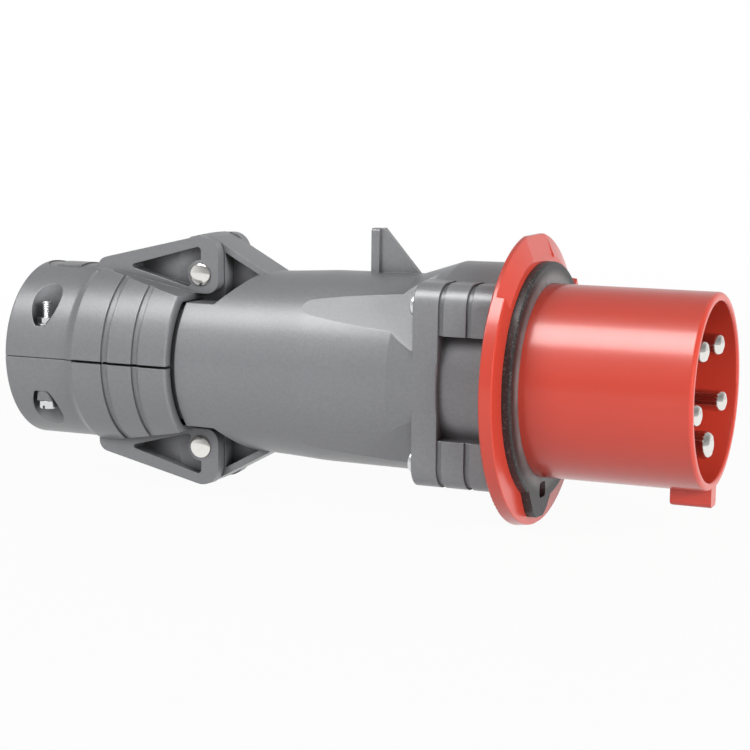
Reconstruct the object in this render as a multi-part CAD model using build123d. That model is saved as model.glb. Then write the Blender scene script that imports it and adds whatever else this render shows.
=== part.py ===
"""Industrial pin and sleeve plug, 63 A, five contacts.

Millimetres. The origin is on the sleeve axis at the sealing face of the gasket.
+X runs toward the mating end, +Z is up, the cable leaves toward -X.
"""
import math
import os

from build123d import *

os.makedirs("parts", exist_ok=True)

# Cutting shapes run this far, past every side of the plug
REACH = 300.0

# Fits
SLIP = 0.05
HINGE_GAP = 0.30
CARRIER_GAP = 0.2
BOSS_GAP = 0.2
SCREW_GAP = 0.3
NECK_GAP = 0.1

# Sleeve and flange
SLEEVE_R = 35.5
SLEEVE_BORE = 32.3
SLEEVE_MOUTH = 62.1
FLANGE_FRONT = -3.4
FLANGE_REAR = -8.3
FLANGE_FRONT_R = 53.3
FLANGE_REAR_R = 53.9
FLANGE_FLAT = 53.0
RIM_FRONT = -6.7
RECESS_R = 46.5
RECESS_SPREAD = 50.7
CATCH_HALF = 11.5
CATCH_Z = 43.9
SPIGOT_R = 34.0
SPIGOT_END = -20.0
KEY_TOP = 41.6
KEY_WIDTH = 7.0
KEY_START = 47.1

# Gasket on the flange and its lug
GASKET_R = 43.5
LUG_DROP = 5.9
LUG_SLOT_DEEP = 1.1
LUG_SLOT_TALL = 5.7

# Seal between the flange and the body
SEAL_R = 35.8
SEAL_REAR = -11.2

# Long housing screws, one in each tower
SCREW_Y = 29.8
SCREW_Z = 28.4
SCREW_TIP = -6.0
M5_R = 2.5
M5_HEAD_R = 4.25
M5_HEAD = 3.5
M5_KEY = 3.0
M5_KEY_DEPTH = 2.2
BOSS_R = 5.3
BOSS_END = -19.5
TOWER_REAR = -38.9
TOWER_SIDE = 38.5
TOWER_TOP = 37.0
TOWER_FOOT = 18.8
TOWER_INNER = 18.0
TOWER_ROUND = 8.7
GROOVE_PITCH = 10.55
GROOVE_WIDTH = 2.0
GROOVE_DEPTH = 0.9
FLARE_R = 39.5
FLARE_END = -50.8

# Contacts
PITCH_R = 19.25
LINE_R = 4.0
EARTH_R = 5.0
PIN_TIP = 61.4
TIP_DOME = 1.6
TIP_ROUND = 2.5
PIN_ROOT = 8.0
ROOT_EXTRA = 0.5
PIN_SHOULDER = -14.0
BARREL_R = 6.5
BARREL_END = -45.0
WIRE_R = 4.2
WIRE_DEPTH = 16.0
TERMINAL_X = -37.0
TERMINAL_LOW = 1.8
TERMINAL_RISE = 1.5
TERMINAL_SLOT = 1.4
DRIVE_HALF = 0.5
CARRIER_FACE = 5.0
CARRIER_LEDGE = -24.0
SOCKET_WALL = 2.4
SOCKET_RISE = 2.0
ANGLES = {"l1": 54, "l2": 126, "l3": 198, "neutral": 342, "earth": 270}

# Grey body
CORE_R = 30.0
BODY_R = 36.9
BODY_REAR = -138.0
BODY_REAR_R = 34.1
TAPER_START = -50.3
TAPER_FRONT = -86.0
TAPER_FRONT_R = 36.5
TAPER_REAR = -103.0
TAPER_REAR_R = 35.5
TAPER_BLEND = 60.0
ROOF_R = 42.6
ROOF_REAR_R = 42.3
ROOF_REAR = -33.5
ROOF_END = -51.0
ROOF_HALF = 24.0
SKIRT_R = 32.3
SKIRT_WALL = 2.5
SKIRT_END = -142.0
SKIRT_HALF = 21.3
SEAT_R = 34.2
SEAT_FLAT = 23.7
SEAT_FRONT = -125.5
SEAT_RISE = 13.5
ROOM_R = 32.5
ROOM_REAR_R = 31.0
ROOM_REAR = -113.0
NECK_R = 22.0
NECK_BORE = 19.4
NECK_END = -171.0
CABLE_LEDGE = -149.9
CABLE_PASSAGE_R = 17.0
FACET_TURN = 43.6
FACET_NEAR = 35.7
FACET_FAR = 36.4
FACET_END = -88.0

# Catch on top of the body
RIB_FRONT = -67.3
RIB_THICK = 3.2
RIB_HALF = 2.8
RIB_TOP = 53.2
WEB_FRONT = -51.5
WEB_HALF = 1.4

# Cable gland inside the jaws
CABLE_R = 12.5
GLAND_REAR = -169.9
NUT_FLOOR = -171.5
NUT_REAR = -175.0
NUT_FRONT = -158.0
GLAND_NUT_R = 24.9
NUT_RIBS = 18
NUT_RIB_R = 1.0

# Clamp jaws
HINGE_X = -137.0
HINGE_Z = 33.6
HINGE_R = 2.5
PIN_BOSS_R = 5.6
PIN_HEAD_R = 4.35
PIN_HEAD = 1.6
LUG_HALF = 8.7
LUG_WEB_HALF = 1.5
PLATE_FRONT = -106.0
PLATE_FRONT_Z = 32.5
PLATE_THICK = 2.9
SLOT_HALF = LUG_HALF + HINGE_GAP
SLOT_END = -146.6
SLOT_LOW = 15.0
EAR_HALF = 14.0
EAR_FRONT = -129.5
EAR_FRONT_TOP = 50.8
EAR_REAR = -182.6
EAR_REAR_TOP = 38.35
EAR_LOW = 22.0
EAR_HEEL = 26.3
CROWN_AXIS_Z = -150.0
COLLAR_R = 34.8
COLLAR_REAR = -212.8
BAND_REAR = -181.3
BAND_FRONT = -139.6
BAND_REAR_R = 36.6
BAND_FRONT_R = 37.8
BAND_GROOVES = (-166.7, -153.1)
BAND_GROOVE = 0.8
CREST_FRONT = 25.97
CREST_REAR = 35.2
COLLAR_SEAM = 0.15
BAND_SEAM = 0.5
GRIP_R = 17.5
GRIP_ROOT_R = 19.0
GRIP_FIRST = 5.8
GRIP_PITCH = 11.0
GRIP_HALF = 2.25
JAW_CAVITY_R = 33.5
JAW_CAVITY_REAR = -178.5
JAW_ROOF_FRONT = 23.6
JAW_ROOF_REAR = 31.9

# Clamp screws, M4
CLAMP_X = -197.9
CLAMP_Y = 26.9
CLAMP_R = 2.0
CLAMP_FLOOR = 12.1
CLAMP_CEILING = -17.7
CLAMP_HEAD_R = 3.6
CLAMP_HEAD = 3.1
CLAMP_SLOT = 1.3
CLAMP_TIP = 21.4
CLAMP_SHIFT = 1.5
POCKET_R = 5.95
POCKET_TOP = -13.5
HEAD_BOSS_SHIFT = 0.9
SPOT_X = -200.0
SPOT_R = 12.0
SPOT_DEPTH = 0.5
PAD_LONG = 5.5
PAD_WIDE = 7.0
WASHER_R = 4.3
WASHER_THICK = 0.8
NUT_FLATS = 7.0
NUT_HEIGHT = 2.4


def outline(corners):
    """Closed face from corners (u, v) or (u, v, radius) where the radius rounds that corner."""
    count = len(corners)
    stops = []
    for index, corner in enumerate(corners):
        here = Vector(corner[0], corner[1])
        if len(corner) < 3:
            stops.append((here, None, here))
            continue
        before = corners[index - 1]
        after = corners[(index + 1) % count]
        back = (Vector(before[0], before[1]) - here).normalized()
        ahead = (Vector(after[0], after[1]) - here).normalized()
        half = math.acos(back.dot(ahead)) / 2
        reach = corner[2] / math.tan(half)
        inward = (back + ahead).normalized()
        middle = here + inward * (corner[2] / math.sin(half) - corner[2])
        stops.append((here + back * reach, middle, here + ahead * reach))
    edges = []
    for index, stop in enumerate(stops):
        if stop[1] is not None:
            edges.append(ThreePointArc(stop[0], stop[1], stop[2]))
        following = stops[(index + 1) % count]
        if (following[0] - stop[2]).length > 1e-6:
            edges.append(Line(stop[2], following[0]))
    return make_face(edges)


def turned(corners):
    """Solid of revolution about the plug axis from corners (x, radius)."""
    return revolve(Plane.XZ * outline(corners), Axis.X, 360)


def ring(x0, x1, inner, outer):
    """Plain ring about the plug axis."""
    return turned([(x0, inner), (x1, inner), (x1, outer), (x0, outer)])


def rod_x(x0, x1, radius, y=0.0, z=0.0):
    """Round bar along X."""
    return Pos((x0 + x1) / 2, y, z) * Rot(0, 90, 0) * Cylinder(radius, x1 - x0)


def rod_y(y0, y1, radius, x=0.0, z=0.0):
    """Round bar along Y."""
    return Pos(x, (y0 + y1) / 2, z) * Rot(90, 0, 0) * Cylinder(radius, y1 - y0)


def rod_z(z0, z1, radius, x=0.0, y=0.0):
    """Round bar along Z."""
    return Pos(x, y, (z0 + z1) / 2) * Cylinder(radius, z1 - z0)


def block(x0, x1, y0, y1, z0, z1):
    """Rectangular block between six limits."""
    middle = Pos((x0 + x1) / 2, (y0 + y1) / 2, (z0 + z1) / 2)
    return middle * Box(x1 - x0, y1 - y0, z1 - z0)


def prism_x(corners, x0, x1):
    """Outline in Y and Z carried along X."""
    return extrude(Plane.YZ.offset(x0) * outline(corners), amount=x1 - x0)


def prism_y(corners, y0, y1):
    """Outline in X and Z carried along Y."""
    return extrude(Plane.XZ.offset(-y1) * outline(corners), amount=y1 - y0)


def prism_z(corners, z0, z1):
    """Outline in X and Y carried along Z."""
    return extrude(Plane.XY.offset(z0) * outline(corners), amount=z1 - z0)


def hexagon(flats, u, v, turn=0.0):
    """Corners of a hexagon of this size across its flats."""
    corner = flats / math.sqrt(3)
    points = []
    for step in range(6):
        angle = math.radians(60 * step + turn)
        points.append((u + corner * math.cos(angle), v + corner * math.sin(angle)))
    return points


def both_sides(solid):
    """The solid and its mirror image across the middle plane."""
    return solid + mirror(solid, about=Plane.XZ)


def four_ways(solid):
    """The solid mirrored to both sides, and top to bottom."""
    pair = both_sides(solid)
    return pair + mirror(pair, about=Plane.XY)


def key():
    """Orientation key under the sleeve, flush with the mouth."""
    half = KEY_WIDTH / 2
    root = -SLEEVE_R + 1.5
    face = [(-half, root), (-half, -KEY_TOP, 2.0), (half, -KEY_TOP, 2.0), (half, root)]
    nose = [
        (KEY_START, -SLEEVE_BORE),
        (KEY_START, -KEY_TOP, 1.2),
        (SLEEVE_MOUTH, -KEY_TOP, 0.5),
        (SLEEVE_MOUTH, -SLEEVE_BORE),
    ]
    return prism_x(face, KEY_START, SLEEVE_MOUTH) & prism_y(nose, -half - 1, half + 1)


def catch_recess():
    """Sloping recess round the top of the flange, with a flat slope in the middle for a lid catch."""
    drop = FLANGE_FRONT - RIM_FRONT
    above = max(FLANGE_FRONT_R, FLANGE_REAR_R) + 3
    cone_rise = (FLANGE_REAR_R - RECESS_R) / drop
    cone = turned([
        (FLANGE_FRONT + 0.5, RECESS_R - 0.5 * cone_rise),
        (FLANGE_FRONT + 0.5, above),
        (RIM_FRONT - (above - FLANGE_REAR_R) / cone_rise, above),
    ])
    side = REACH * math.sin(math.radians(RECESS_SPREAD))
    height = REACH * math.cos(math.radians(RECESS_SPREAD))
    corners = [(0, 0), (side, height), (side, REACH), (-side, REACH), (-side, height)]
    sector = prism_x(corners, -REACH, REACH)
    flat_rise = (FLANGE_FLAT - CATCH_Z) / drop
    slope = prism_y([
        (FLANGE_FRONT + 0.5, CATCH_Z - 0.5 * flat_rise),
        (FLANGE_FRONT + 0.5, above),
        (RIM_FRONT - (above - FLANGE_FLAT) / flat_rise, above),
    ], -CATCH_HALF, CATCH_HALF)
    return (cone & sector) + slope


def shroud_housing():
    """Sleeve, flange, rear spigot, screw bosses and key."""
    flange = turned([
        (FLANGE_REAR, SLEEVE_BORE + 1),
        (FLANGE_FRONT, SLEEVE_BORE + 1),
        (FLANGE_FRONT, FLANGE_FRONT_R, 0.5),
        (FLANGE_REAR, FLANGE_REAR_R, 0.5),
    ])
    flange &= block(-REACH, REACH, -REACH, REACH, -FLANGE_FLAT, FLANGE_FLAT)
    flange -= catch_recess()
    body = turned([
        (SPIGOT_END, SLEEVE_BORE),
        (SLEEVE_MOUTH, SLEEVE_BORE, 0.8),
        (SLEEVE_MOUTH, SLEEVE_R, 1.5),
        (FLANGE_FRONT - 1, SLEEVE_R),
        (FLANGE_FRONT - 1, SPIGOT_R),
        (SPIGOT_END, SPIGOT_R),
    ])
    body += flange
    body += four_ways(rod_x(BOSS_END, FLANGE_REAR + 0.5, BOSS_R, SCREW_Y, SCREW_Z))
    body += key()
    body -= four_ways(rod_x(BOSS_END - 1, SCREW_TIP + 1, M5_R + SLIP, SCREW_Y, SCREW_Z))
    return body


def flange_gasket():
    """Flat seal on the flange, with the slotted lug below."""
    rim = -GASKET_R
    lug = prism_x([
        (-21.5, rim + 6.5),
        (-15.6, rim - LUG_DROP + 2.8, 3.0),
        (-12.5, rim - LUG_DROP + 0.5, 2.0),
        (-4.5, rim - LUG_DROP, 3.0),
        (0.0, rim - LUG_DROP + 2.6, 3.0),
        (6.8, rim + 4.0),
        (6.5, rim + 7.0),
    ], FLANGE_FRONT, 0)
    seal = turned([
        (FLANGE_FRONT, SLEEVE_R + SLIP),
        (0, SLEEVE_R + SLIP),
        (0, GASKET_R, 0.9),
        (FLANGE_FRONT, GASKET_R),
    ])
    seal += lug
    seal -= rod_x(FLANGE_FRONT - 1, 1, SLEEVE_R + SLIP)
    low = rim + LUG_SLOT_DEEP
    high = low + LUG_SLOT_TALL
    slot = prism_x([
        (-9.1, low, 1.5),
        (-2.5, low, 1.5),
        (-2.5, high, 1.5),
        (-9.1, high, 1.5),
    ], FLANGE_FRONT - 1, 1)
    return seal - slot


def contact_places():
    """Name, angle, centre and pin radius of each contact."""
    places = []
    for name, angle in ANGLES.items():
        turn = math.radians(angle)
        radius = EARTH_R if name == "earth" else LINE_R
        places.append((name, angle, PITCH_R * math.cos(turn), PITCH_R * math.sin(turn), radius))
    return places


def contact_carrier():
    """Disc that holds the contacts, clamped at its rear flange."""
    disc = turned([
        (CARRIER_LEDGE, 0),
        (CARRIER_LEDGE, SPIGOT_R - CARRIER_GAP, 0.4),
        (SPIGOT_END, SPIGOT_R - CARRIER_GAP),
        (SPIGOT_END, SLEEVE_BORE - CARRIER_GAP),
        (CARRIER_FACE, SLEEVE_BORE - CARRIER_GAP, 1.0),
        (CARRIER_FACE, 0),
    ])
    top = CARRIER_FACE + SOCKET_RISE
    for name, angle, y, z, radius in contact_places():
        disc += rod_x(CARRIER_FACE - 0.5, top, radius + SOCKET_WALL, y, z)
    for name, angle, y, z, radius in contact_places():
        disc -= rod_x(CARRIER_LEDGE - 1, top + 1, radius + ROOT_EXTRA + SLIP, y, z)
        disc -= rod_x(CARRIER_LEDGE - 1, PIN_SHOULDER, BARREL_R + SLIP, y, z)
    return disc


def contact(angle, y, z, radius):
    """Solid pin with a domed tip, a thicker root, a shoulder and a screw terminal behind it."""
    pin = revolve(Plane.XZ * outline([
        (BARREL_END, 0),
        (BARREL_END, BARREL_R, 0.6),
        (PIN_SHOULDER, BARREL_R),
        (PIN_SHOULDER, radius + ROOT_EXTRA),
        (PIN_ROOT, radius + ROOT_EXTRA),
        (PIN_ROOT, radius),
        (PIN_TIP - TIP_DOME, radius),
        (PIN_TIP, radius * 0.62, TIP_ROUND),
        (PIN_TIP, 0),
    ]), Axis.X, 360)
    pin -= rod_x(BARREL_END - 1, BARREL_END + WIRE_DEPTH, WIRE_R)
    pin -= rod_z(0, BARREL_R + 3, M5_R + SLIP, TERMINAL_X)
    return Pos(0, y, z) * Rot(angle - 90, 0, 0) * pin


def terminal_screws():
    """One set screw standing out of each terminal."""
    top = BARREL_R + TERMINAL_RISE
    across = M5_R + DRIVE_HALF
    screw = rod_z(TERMINAL_LOW, top, M5_R, TERMINAL_X)
    screw -= block(
        TERMINAL_X - across, TERMINAL_X + across, -DRIVE_HALF, DRIVE_HALF, top - TERMINAL_SLOT, top + 1)
    group = []
    for name, angle, y, z, radius in contact_places():
        group.append(Pos(0, y, z) * Rot(angle - 90, 0, 0) * screw)
    return Compound(children=group)


def barrel():
    """Turned outside of the grey body, still solid."""
    return turned([
        (BODY_REAR, 0),
        (BODY_REAR, BODY_REAR_R, 0.8),
        (TAPER_REAR, TAPER_REAR_R, TAPER_BLEND),
        (TAPER_FRONT, TAPER_FRONT_R, TAPER_BLEND),
        (TAPER_START, BODY_R),
        (FLANGE_REAR, BODY_R),
        (FLANGE_REAR, 0),
    ])


def rear_skirt():
    """Short inner skirt that closes the gap between the barrel and the jaws."""
    skirt = ring(SKIRT_END, BODY_REAR + 1, SKIRT_R - SKIRT_WALL, SKIRT_R)
    return skirt & block(-REACH, REACH, -REACH, REACH, -SKIRT_HALF, SKIRT_HALF)


def side_flares():
    """Raised bands between an upper and a lower tower."""
    front = TOWER_REAR + GROOVE_PITCH - GROOVE_WIDTH / 2
    flare = turned([
        (FLARE_END, CORE_R),
        (FLARE_END, BODY_R - 0.2),
        (TOWER_REAR, FLARE_R, 20.0),
        (front, FLARE_R, 0.8),
        (front, CORE_R),
    ])
    return flare & block(-REACH, REACH, -REACH, REACH, -TOWER_FOOT - 0.1, TOWER_FOOT + 0.1)


def tower_corners(foot, inset):
    """Outline of the upper tower on the +Y side, from its foot up."""
    return [
        (TOWER_INNER, foot),
        (TOWER_SIDE - inset, foot),
        (TOWER_SIDE - inset, TOWER_TOP - inset, TOWER_ROUND - inset),
        (TOWER_INNER, TOWER_TOP - inset),
    ]


def towers():
    """Four square towers round the housing screws, each with two grooves."""
    tower = prism_x(tower_corners(TOWER_FOOT, 0), TOWER_REAR, FLANGE_REAR)
    low = math.sqrt(FLARE_R ** 2 - TOWER_SIDE ** 2)
    tower += prism_x(tower_corners(low, 0), TOWER_REAR, TOWER_REAR + GROOVE_PITCH - GROOVE_WIDTH / 2)
    half = GROOVE_WIDTH / 2
    for count in (1, 2):
        centre = TOWER_REAR + GROOVE_PITCH * count
        slab = block(centre - half, centre + half, TOWER_INNER - 1, REACH, TOWER_FOOT - 1, REACH)
        core = tower_corners(TOWER_FOOT / 2, GROOVE_DEPTH)
        tower -= slab - prism_x(core, centre - 2 * half, centre + 2 * half)
    return four_ways(tower)


def roof():
    """Raised cover between the two upper towers with a ramp behind."""
    cover = turned([
        (ROOF_END, CORE_R),
        (ROOF_END, BODY_R - 0.3),
        (ROOF_REAR, ROOF_REAR_R),
        (FLANGE_REAR, ROOF_R),
        (FLANGE_REAR, CORE_R),
    ])
    return cover & block(-REACH, REACH, -ROOF_HALF, ROOF_HALF, CORE_R - 2, REACH)


def tool_facets():
    """Flat cut behind each tower that leaves room for a screwdriver and runs out along the barrel."""
    cut = prism_y([
        (TOWER_REAR, FACET_NEAR),
        (TOWER_REAR, 2 * CORE_R),
        (FACET_END, 2 * CORE_R),
        (FACET_END, FACET_FAR),
    ], -CORE_R, CORE_R)
    return four_ways(Rot(FACET_TURN - 90, 0, 0) * cut)


def catch_rib():
    """Catch on top of the body: a cross rib with a sloping web in front."""
    root = BODY_R - 2.9
    post = prism_x([
        (-RIB_HALF, root),
        (RIB_HALF, root),
        (RIB_HALF, RIB_TOP, 1.2),
        (-RIB_HALF, RIB_TOP, 1.2),
    ], RIB_FRONT - RIB_THICK, RIB_FRONT)
    web = prism_y([
        (RIB_FRONT - 1.7, root),
        (WEB_FRONT, root),
        (WEB_FRONT, BODY_R - 0.1),
        (RIB_FRONT + 1.3, RIB_TOP + 0.2, 1.0),
        (RIB_FRONT - 1.7, RIB_TOP - 0.2),
    ], -WEB_HALF, WEB_HALF)
    return post + web


def crowned(corners, y0, y1):
    """Prism whose top is domed across the width."""
    dome = revolve(Plane.XZ * outline(corners), Axis((0, 0, CROWN_AXIS_Z), (1, 0, 0)), 360)
    return dome & block(-REACH, REACH, y0, y1, 0, REACH)


def hinge_lug():
    """Upper hinge lug: a knuckle, a sloping plate and a middle web."""
    bend = HINGE_X + 2.7
    bend_z = HINGE_Z + 14.4
    knuckle = crowned([
        (HINGE_X - 8.0, 10.0),
        (HINGE_X - 8.0, HINGE_Z + 13.9, 1.5),
        (HINGE_X - 1.0, HINGE_Z + 15.5, 3.0),
        (bend, bend_z, 2.0),
        (HINGE_X + 7.9, HINGE_Z + 11.55),
        (HINGE_X + 7.9, 10.0),
    ], -LUG_HALF, LUG_HALF)
    knuckle &= block(-REACH, REACH, -LUG_HALF, LUG_HALF, SEAT_FLAT - 1.2, REACH)
    knuckle -= block(-REACH, BODY_REAR, -REACH, REACH, 0, SEAT_FLAT)
    plate = crowned([
        (bend, bend_z),
        (PLATE_FRONT, PLATE_FRONT_Z),
        (PLATE_FRONT, PLATE_FRONT_Z - PLATE_THICK),
        (bend, bend_z - PLATE_THICK),
    ], -LUG_HALF, LUG_HALF)
    web = prism_y([
        (HINGE_X + 4.0, HINGE_Z + 12.4),
        (PLATE_FRONT - 1.5, PLATE_FRONT_Z - 0.5),
        (PLATE_FRONT - 8.0, EAR_LOW),
        (HINGE_X + 6.0, EAR_LOW),
    ], -LUG_WEB_HALF, LUG_WEB_HALF)
    web -= block(-REACH, BODY_REAR + 18, -REACH, REACH, 0, SEAT_FLAT - 1)
    return knuckle + plate + web


def jaw_seat():
    """Room cut from the top rear of the barrel for the upper jaw ears."""
    front = SEAT_FRONT + SEAT_RISE
    above = BODY_R + 10
    return prism_y([
        (BODY_REAR - 2, SEAT_FLAT),
        (SEAT_FRONT, SEAT_FLAT, 1.0),
        (front, SEAT_FLAT + SEAT_RISE),
        (front, above),
        (BODY_REAR - 2, above),
    ], -REACH, REACH)


def handle_cavity():
    """Everything hollow inside the grey body along the axis."""
    return turned([
        (FLANGE_REAR + 1, 0),
        (FLANGE_REAR + 1, SEAL_R),
        (SEAL_REAR, SEAL_R),
        (SEAL_REAR, SEAT_R),
        (CARRIER_LEDGE, SEAT_R),
        (CARRIER_LEDGE, ROOM_R),
        (ROOM_REAR + 8, ROOM_REAR_R + 0.6, 5.0),
        (ROOM_REAR, ROOM_REAR_R, 4.0),
        (SEAT_FRONT, CABLE_PASSAGE_R),
        (CABLE_LEDGE, CABLE_PASSAGE_R),
        (CABLE_LEDGE, NECK_BORE),
        (NECK_END - 1, NECK_BORE),
        (NECK_END - 1, 0),
    ])


def handle_housing():
    """Grey body with towers, catch, hinge lugs and neck."""
    body = barrel() + side_flares()
    body -= jaw_seat() + mirror(jaw_seat(), about=Plane.XY)
    body += towers() + roof()
    body -= tool_facets()
    body += catch_rib() + rear_skirt()
    body += turned([(NECK_END, 0), (NECK_END, NECK_R, 0.6), (BODY_REAR + 1, NECK_R), (BODY_REAR + 1, 0)])
    body += hinge_lug() + mirror(hinge_lug(), about=Plane.XY)
    body -= handle_cavity()
    body -= four_ways(rod_x(BOSS_END, FLANGE_REAR + 1, BOSS_R + BOSS_GAP, SCREW_Y, SCREW_Z))
    body -= four_ways(rod_x(TOWER_REAR - 1, BOSS_END, M5_R + BOSS_GAP, SCREW_Y, SCREW_Z))
    for side in (1, -1):
        body -= rod_y(-EAR_HALF, EAR_HALF, HINGE_R, HINGE_X, side * HINGE_Z)
    return body


def housing_seal():
    """Square section seal between the body and the flange."""
    return ring(SEAL_REAR, FLANGE_REAR, SPIGOT_R + SLIP, SEAL_R - SLIP)


def housing_screws():
    """Four long screws from behind the towers into the flange bosses."""
    top = TOWER_REAR - M5_HEAD
    head = revolve(Plane.XZ * outline([
        (top, 0),
        (top, M5_HEAD_R, 1.2),
        (TOWER_REAR, M5_HEAD_R),
        (TOWER_REAR, 0),
    ]), Axis.X, 360)
    screw = head + rod_x(TOWER_REAR - 1, SCREW_TIP, M5_R)
    screw -= prism_x(hexagon(M5_KEY, 0, 0), top - 1, top + M5_KEY_DEPTH)
    group = []
    for y in (SCREW_Y, -SCREW_Y):
        for z in (SCREW_Z, -SCREW_Z):
            group.append(Pos(0, y, z) * screw)
    return Compound(children=group)


def gland_seal():
    """Rubber sleeve that grips the cable inside the neck."""
    return turned([
        (GLAND_REAR, CABLE_R, 0.8),
        (CABLE_LEDGE, CABLE_R, 0.8),
        (CABLE_LEDGE, NECK_BORE - NECK_GAP),
        (GLAND_REAR, NECK_BORE - NECK_GAP),
    ])


def gland_washer():
    """Slip ring between the seal and the gland nut."""
    return ring(NUT_FLOOR, GLAND_REAR, CABLE_R + 1.0, NECK_BORE - NECK_GAP)


def gland_nut():
    """Ribbed nut on the neck."""
    nut = turned([
        (NUT_REAR, CABLE_R + 2.5, 0.8),
        (NUT_FLOOR, CABLE_R + 2.5),
        (NUT_FLOOR, NECK_R + SLIP),
        (NUT_FRONT, NECK_R + SLIP),
        (NUT_FRONT, GLAND_NUT_R, 0.6),
        (NUT_REAR, GLAND_NUT_R, 1.5),
    ])
    for step in range(NUT_RIBS):
        turn = 2 * math.pi * step / NUT_RIBS
        y = GLAND_NUT_R * math.cos(turn)
        z = GLAND_NUT_R * math.sin(turn)
        nut += rod_x(NUT_REAR + 2, NUT_FRONT - 1, NUT_RIB_R, y, z)
    return nut


def jaw_shell():
    """Half round collar and band of the upper jaw, before hollowing."""
    shell = turned([
        (COLLAR_REAR, 0),
        (COLLAR_REAR, COLLAR_R, 1.0),
        (BAND_REAR - 3.2, COLLAR_R, 4.0),
        (BAND_REAR, BAND_REAR_R, 0.5),
        (BAND_FRONT, BAND_FRONT_R, 0.8),
        (BAND_FRONT, 0),
    ])
    slope = (BAND_FRONT_R - BAND_REAR_R) / (BAND_FRONT - BAND_REAR)
    for centre in BAND_GROOVES:
        floor = BAND_REAR_R + slope * (centre - BAND_REAR) - BAND_GROOVE
        shell -= ring(centre - 1.5, centre + 1.5, floor, BAND_FRONT_R + 7)
    shell &= block(-REACH, REACH, -REACH, REACH, COLLAR_SEAM, REACH)
    shell -= block(BAND_REAR, REACH, -REACH, REACH, 0, BAND_SEAM)
    above = EAR_FRONT_TOP
    shell -= prism_y([
        (HINGE_X - 1.0, CREST_FRONT),
        (HINGE_X - 1.0, above),
        (EAR_REAR - 0.4, above),
        (EAR_REAR - 0.4, CREST_REAR),
    ], -REACH, REACH)
    return shell


def jaw_ears():
    """Tapered hinge block standing on the upper jaw, before the slot is cut."""
    ears = crowned([
        (EAR_REAR, -10.0),
        (EAR_REAR, EAR_REAR_TOP, 4.5),
        (EAR_FRONT, EAR_FRONT_TOP, 7.2),
        (EAR_FRONT, -10.0),
    ], -EAR_HALF, EAR_HALF)
    face_low = HINGE_Z + 6.3
    side = prism_y([
        (EAR_REAR - 1, EAR_LOW),
        (EAR_REAR - 1, EAR_FRONT_TOP + 9),
        (EAR_FRONT + 1, EAR_FRONT_TOP + 9),
        (EAR_FRONT + 1, face_low + 0.1),
        (EAR_FRONT, face_low),
        (EAR_FRONT, EAR_HEEL, 5.0),
        (BAND_FRONT, EAR_HEEL),
        (BAND_FRONT, EAR_LOW),
    ], -EAR_HALF - 1, EAR_HALF + 1)
    return ears & side


def ear_recesses():
    """Pockets in the sides of the hinge block, deeper to the rear, round the pin boss."""
    outside = EAR_HALF + 6
    side = prism_y([
        (HINGE_X - 32.3, HINGE_Z + 2.1, 0.8),
        (HINGE_X + 0.1, HINGE_Z + 11.0, 1.5),
        (HINGE_X + 0.1, HINGE_Z + 5.9),
        (HINGE_X - 4.9, HINGE_Z - 5.1, 1.5),
    ], 4.0, outside)
    plan = prism_z([
        (HINGE_X - 33.0, 5.0),
        (HINGE_X - 11.0, SLOT_HALF + 1.0),
        (HINGE_X + 7.0, SLOT_HALF + 1.0),
        (HINGE_X + 7.0, outside),
        (HINGE_X - 33.0, outside),
    ], 20, 60)
    return both_sides(side & plan) - rod_y(-REACH, REACH, PIN_BOSS_R, HINGE_X, HINGE_Z)


def jaw_cavity():
    """Hollow of the upper jaw round the gland nut, and the gripping bore behind it."""
    room = turned([
        (JAW_CAVITY_REAR, 0),
        (JAW_CAVITY_REAR, JAW_CAVITY_R, 2.0),
        (BAND_FRONT + 1, JAW_CAVITY_R),
        (BAND_FRONT + 1, 0),
    ])
    room &= prism_y([
        (JAW_CAVITY_REAR - 1, -1.0),
        (BAND_FRONT + 1, -1.0),
        (BAND_FRONT + 1, JAW_ROOF_FRONT),
        (JAW_CAVITY_REAR - 1, JAW_ROOF_REAR),
    ], -REACH, REACH)
    bore = rod_x(COLLAR_REAR - 1, JAW_CAVITY_REAR + 1, GRIP_ROOT_R)
    for count in range(3):
        centre = COLLAR_REAR + GRIP_FIRST + GRIP_PITCH * count
        bore -= ring(centre - GRIP_HALF, centre + GRIP_HALF, GRIP_R, GRIP_ROOT_R + 1)
    return room + bore


def plain_jaw():
    """Upper jaw without the screw features."""
    jaw = jaw_shell() + jaw_ears()
    jaw -= jaw_cavity()
    jaw -= block(SLOT_END, REACH, -SLOT_HALF, SLOT_HALF, SLOT_LOW, REACH)
    jaw -= ear_recesses()
    jaw -= rod_y(-REACH, REACH, HINGE_R + SLIP, HINGE_X, HINGE_Z)
    return jaw


def upper_jaw():
    """Jaw with the nuts, long passages for the screws and a shallow round spot with a pad on top."""
    jaw = plain_jaw()
    above = COLLAR_R + 10
    spot = rod_z(COLLAR_R - 10, above, SPOT_R, SPOT_X)
    spot -= rod_x(COLLAR_REAR - 5, BAND_REAR, COLLAR_R - SPOT_DEPTH)
    jaw -= spot - block(SPOT_X - PAD_LONG, SPOT_X + PAD_LONG, -PAD_WIDE, PAD_WIDE, 0, REACH)
    free = CLAMP_R + SCREW_GAP
    top = CLAMP_FLOOR + 1
    passage = rod_z(-1, top, free, CLAMP_X, CLAMP_Y)
    passage += rod_z(-1, top, free, CLAMP_X - CLAMP_SHIFT, CLAMP_Y)
    passage += block(CLAMP_X - CLAMP_SHIFT, CLAMP_X, CLAMP_Y - free, CLAMP_Y + free, -1, top)
    jaw -= both_sides(passage + rod_z(CLAMP_FLOOR, above, POCKET_R, CLAMP_X, CLAMP_Y))
    return jaw


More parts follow.
